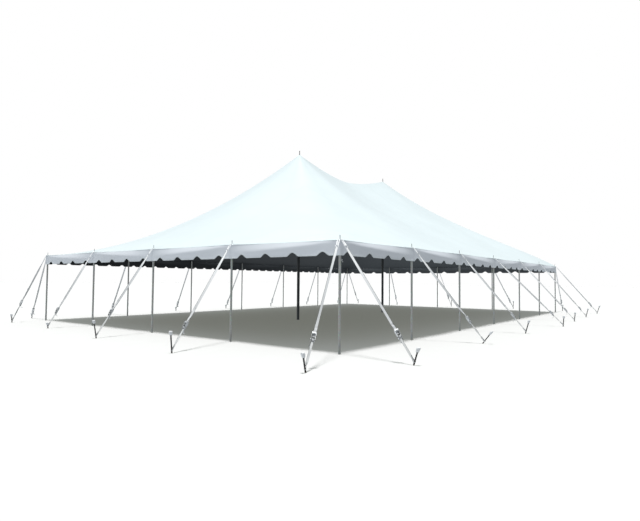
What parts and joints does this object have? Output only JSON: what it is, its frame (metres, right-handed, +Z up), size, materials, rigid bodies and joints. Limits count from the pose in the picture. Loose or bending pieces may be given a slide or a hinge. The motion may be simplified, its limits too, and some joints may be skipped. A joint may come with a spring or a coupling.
{
  "type": "event tent",
  "caption": "Open-sided rectangular pole tent with two fabric peaks, scalloped valance, side and centre poles, ratchet webbing guys and ground stakes.",
  "frame": {"origin": "on the ground under the middle of the bounding box, guys and stakes included", "axes": "+X along the long side, +Y towards the back, +Z up"},
  "size_m": [22.3718, 15.8275, 6.22],
  "materials": {
    "white_vinyl": "satin",
    "galvanised_pole": "matte",
    "dark_centre_pole": "satin",
    "webbing_and_stake": "matte"
  },
  "bodies": {
    "root": {"tent_top": "white_vinyl", "valance_front": "white_vinyl", "valance_back": "white_vinyl", "valance_left": "white_vinyl", "valance_right": "white_vinyl", "centre_pole_left": "dark_centre_pole", "centre_pole_right": "dark_centre_pole", "front_left_corner_pole": "galvanised_pole", "front_right_corner_pole": "galvanised_pole", "front_pole_1": "galvanised_pole", "front_pole_2": "galvanised_pole", "front_pole_3": "galvanised_pole", "front_pole_4": "galvanised_pole", "front_pole_5": "galvanised_pole", "back_left_corner_pole": "galvanised_pole", "back_right_corner_pole": "galvanised_pole", "back_pole_1": "galvanised_pole", "back_pole_2": "galvanised_pole", "back_pole_3": "galvanised_pole", "back_pole_4": "galvanised_pole", "back_pole_5": "galvanised_pole", "left_pole_1": "galvanised_pole", "left_pole_2": "galvanised_pole", "left_pole_3": "galvanised_pole", "right_pole_1": "galvanised_pole", "right_pole_2": "galvanised_pole", "right_pole_3": "galvanised_pole", "front_guy_1": "webbing_and_stake", "front_guy_2": "webbing_and_stake", "front_guy_3": "webbing_and_stake", "front_guy_4": "webbing_and_stake", "front_guy_5": "webbing_and_stake", "front_left_corner_guy_front": "webbing_and_stake", "front_left_corner_guy_left": "webbing_and_stake", "front_right_corner_guy_front": "webbing_and_stake", "front_right_corner_guy_right": "webbing_and_stake", "back_guy_1": "webbing_and_stake", "back_guy_2": "webbing_and_stake", "back_guy_3": "webbing_and_stake", "back_guy_4": "webbing_and_stake", "back_guy_5": "webbing_and_stake", "back_left_corner_guy_back": "webbing_and_stake", "back_left_corner_guy_left": "webbing_and_stake", "back_right_corner_guy_back": "webbing_and_stake", "back_right_corner_guy_right": "webbing_and_stake", "left_guy_1": "webbing_and_stake", "left_guy_2": "webbing_and_stake", "left_guy_3": "webbing_and_stake", "right_guy_1": "webbing_and_stake", "right_guy_2": "webbing_and_stake", "right_guy_3": "webbing_and_stake"}
  },
  "joints": []
}
